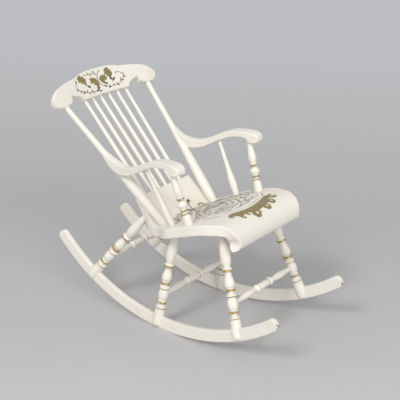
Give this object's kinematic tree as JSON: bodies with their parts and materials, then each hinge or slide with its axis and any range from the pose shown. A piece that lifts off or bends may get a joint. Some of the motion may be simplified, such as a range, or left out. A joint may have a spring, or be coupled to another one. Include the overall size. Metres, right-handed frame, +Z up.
{
  "type": "rocking chair",
  "caption": "Painted wooden rocking chair with a rolled plank seat, raked spindle back, shaped crest rail, S-curved arms and turned legs forked over curved rockers.",
  "frame": {"origin": "centre of the chair's box on the floor", "axes": "+Z up, the sitter faces -Y, +X is the sitter's left"},
  "size_m": [0.604, 1.0982, 0.9129],
  "materials": {
    "seat_front_roll": "satin ivory paint",
    "seat_board": "satin ivory paint",
    "seat_rear_riser": "satin ivory paint",
    "crest_rail": "satin ivory paint",
    "back_spindle_1": "satin ivory paint",
    "back_spindle_2": "satin ivory paint",
    "back_spindle_3": "satin ivory paint",
    "back_spindle_4": "satin ivory paint",
    "back_spindle_5": "satin ivory paint",
    "back_spindle_6": "satin ivory paint",
    "back_post_left": "satin ivory paint",
    "arm_left": "satin ivory paint",
    "arm_baluster_left": "satin ivory paint",
    "arm_spindle_left": "satin ivory paint",
    "leg_front_left": "satin ivory paint",
    "rocker_pin_front_left": "satin ivory paint",
    "leg_middle_left": "satin ivory paint",
    "rocker_pin_middle_left": "satin ivory paint",
    "leg_rear_left": "satin ivory paint",
    "rocker_pin_rear_left": "satin ivory paint",
    "rocker_left": "satin ivory paint",
    "back_post_right": "satin ivory paint",
    "arm_right": "satin ivory paint",
    "arm_baluster_right": "satin ivory paint",
    "arm_spindle_right": "satin ivory paint",
    "leg_front_right": "satin ivory paint",
    "rocker_pin_front_right": "satin ivory paint",
    "leg_middle_right": "satin ivory paint",
    "rocker_pin_middle_right": "satin ivory paint",
    "leg_rear_right": "satin ivory paint",
    "rocker_pin_rear_right": "satin ivory paint",
    "rocker_right": "satin ivory paint",
    "stretcher_front": "satin ivory paint",
    "stretcher_middle": "satin ivory paint",
    "stretcher_rear": "satin ivory paint"
  },
  "bodies": {
    "root": {"seat_front_roll": "seat_front_roll", "seat_board": "seat_board", "seat_rear_riser": "seat_rear_riser", "crest_rail": "crest_rail", "back_spindle_1": "back_spindle_1", "back_spindle_2": "back_spindle_2", "back_spindle_3": "back_spindle_3", "back_spindle_4": "back_spindle_4", "back_spindle_5": "back_spindle_5", "back_spindle_6": "back_spindle_6", "back_post_left": "back_post_left", "arm_left": "arm_left", "arm_baluster_left": "arm_baluster_left", "arm_spindle_left": "arm_spindle_left", "leg_front_left": "leg_front_left", "rocker_pin_front_left": "rocker_pin_front_left", "leg_middle_left": "leg_middle_left", "rocker_pin_middle_left": "rocker_pin_middle_left", "leg_rear_left": "leg_rear_left", "rocker_pin_rear_left": "rocker_pin_rear_left", "rocker_left": "rocker_left", "back_post_right": "back_post_right", "arm_right": "arm_right", "arm_baluster_right": "arm_baluster_right", "arm_spindle_right": "arm_spindle_right", "leg_front_right": "leg_front_right", "rocker_pin_front_right": "rocker_pin_front_right", "leg_middle_right": "leg_middle_right", "rocker_pin_middle_right": "rocker_pin_middle_right", "leg_rear_right": "leg_rear_right", "rocker_pin_rear_right": "rocker_pin_rear_right", "rocker_right": "rocker_right", "stretcher_front": "stretcher_front", "stretcher_middle": "stretcher_middle", "stretcher_rear": "stretcher_rear"}
  },
  "joints": []
}
